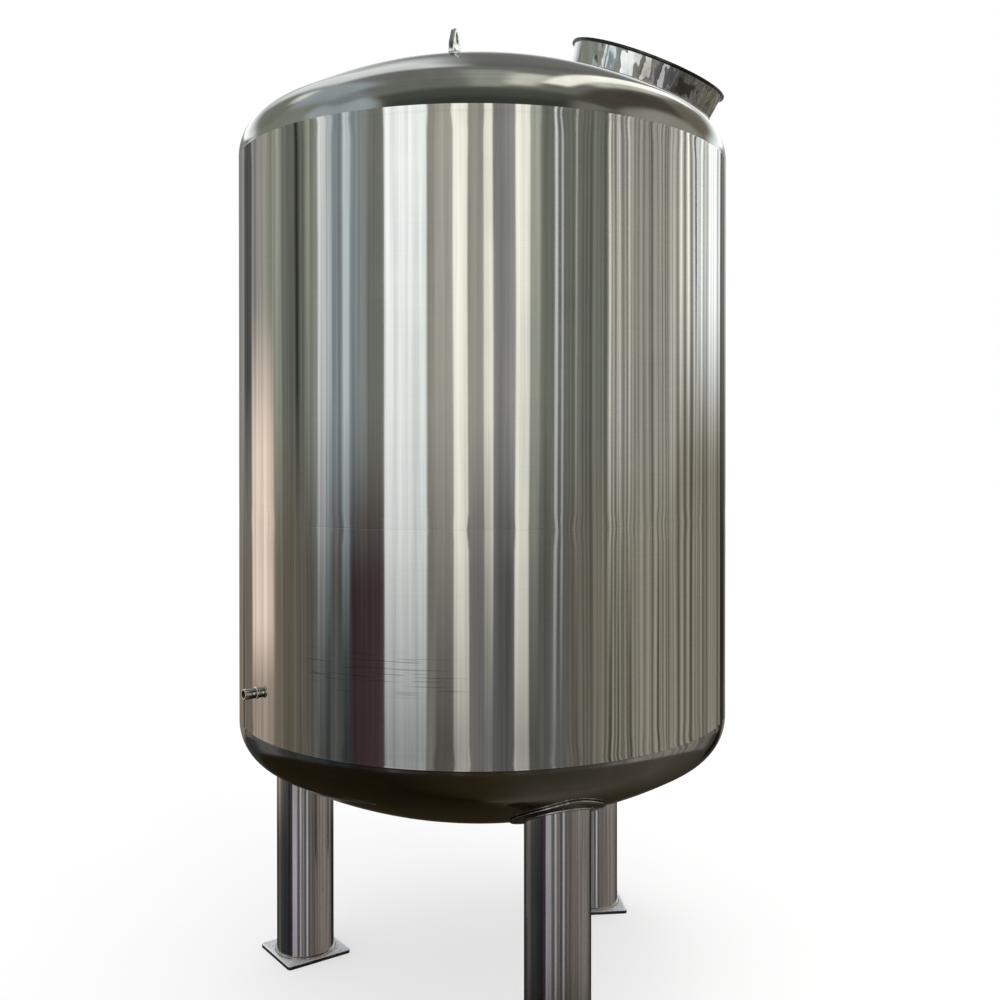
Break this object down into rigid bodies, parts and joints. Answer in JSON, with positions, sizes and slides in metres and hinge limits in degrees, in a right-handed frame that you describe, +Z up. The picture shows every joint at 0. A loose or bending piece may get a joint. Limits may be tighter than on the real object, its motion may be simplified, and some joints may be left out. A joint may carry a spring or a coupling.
{
  "type": "vertical storage tank",
  "caption": "Free-standing vertical stainless-steel storage tank with dished heads, pipe legs on base plates, a tilted manhole neck on the dome, lifting lugs and a level tapping.",
  "frame": {"origin": "on the tank's axis at floor level, under the middle of the tank", "axes": "+Z up along the tank's axis, -Y towards the side that carries the front leg, +X towards the manhole side"},
  "size_m": [1.4008, 1.4008, 2.6431],
  "materials": {
    "polished_stainless": "polished and lightly brushed",
    "drawn_stainless_pipe": "satin",
    "mill_finish_plate": "mill finish",
    "dark_stainless_lip": "dark satin",
    "dressed_weld": "ground weld"
  },
  "bodies": {
    "root": {"bottom_head": "polished_stainless", "weld_lower": "dressed_weld", "shell_lower_course": "polished_stainless", "weld_middle": "dressed_weld", "shell_upper_course": "polished_stainless", "weld_upper": "dressed_weld", "top_head": "polished_stainless", "manhole_neck": "polished_stainless", "manhole_lip": "dark_stainless_lip", "lifting_lug_front": "polished_stainless", "lifting_lug_back": "polished_stainless", "leg_pad_front": "drawn_stainless_pipe", "leg_pipe_front": "drawn_stainless_pipe", "foot_weld_front": "dressed_weld", "base_plate_front": "mill_finish_plate", "leg_pad_left": "drawn_stainless_pipe", "leg_pipe_left": "drawn_stainless_pipe", "foot_weld_left": "dressed_weld", "base_plate_left": "mill_finish_plate", "leg_pad_back": "drawn_stainless_pipe", "leg_pipe_back": "drawn_stainless_pipe", "foot_weld_back": "dressed_weld", "base_plate_back": "mill_finish_plate", "level_tapping_stub": "polished_stainless", "level_tapping_collar": "polished_stainless", "level_tapping_pipe": "polished_stainless"}
  },
  "joints": []
}
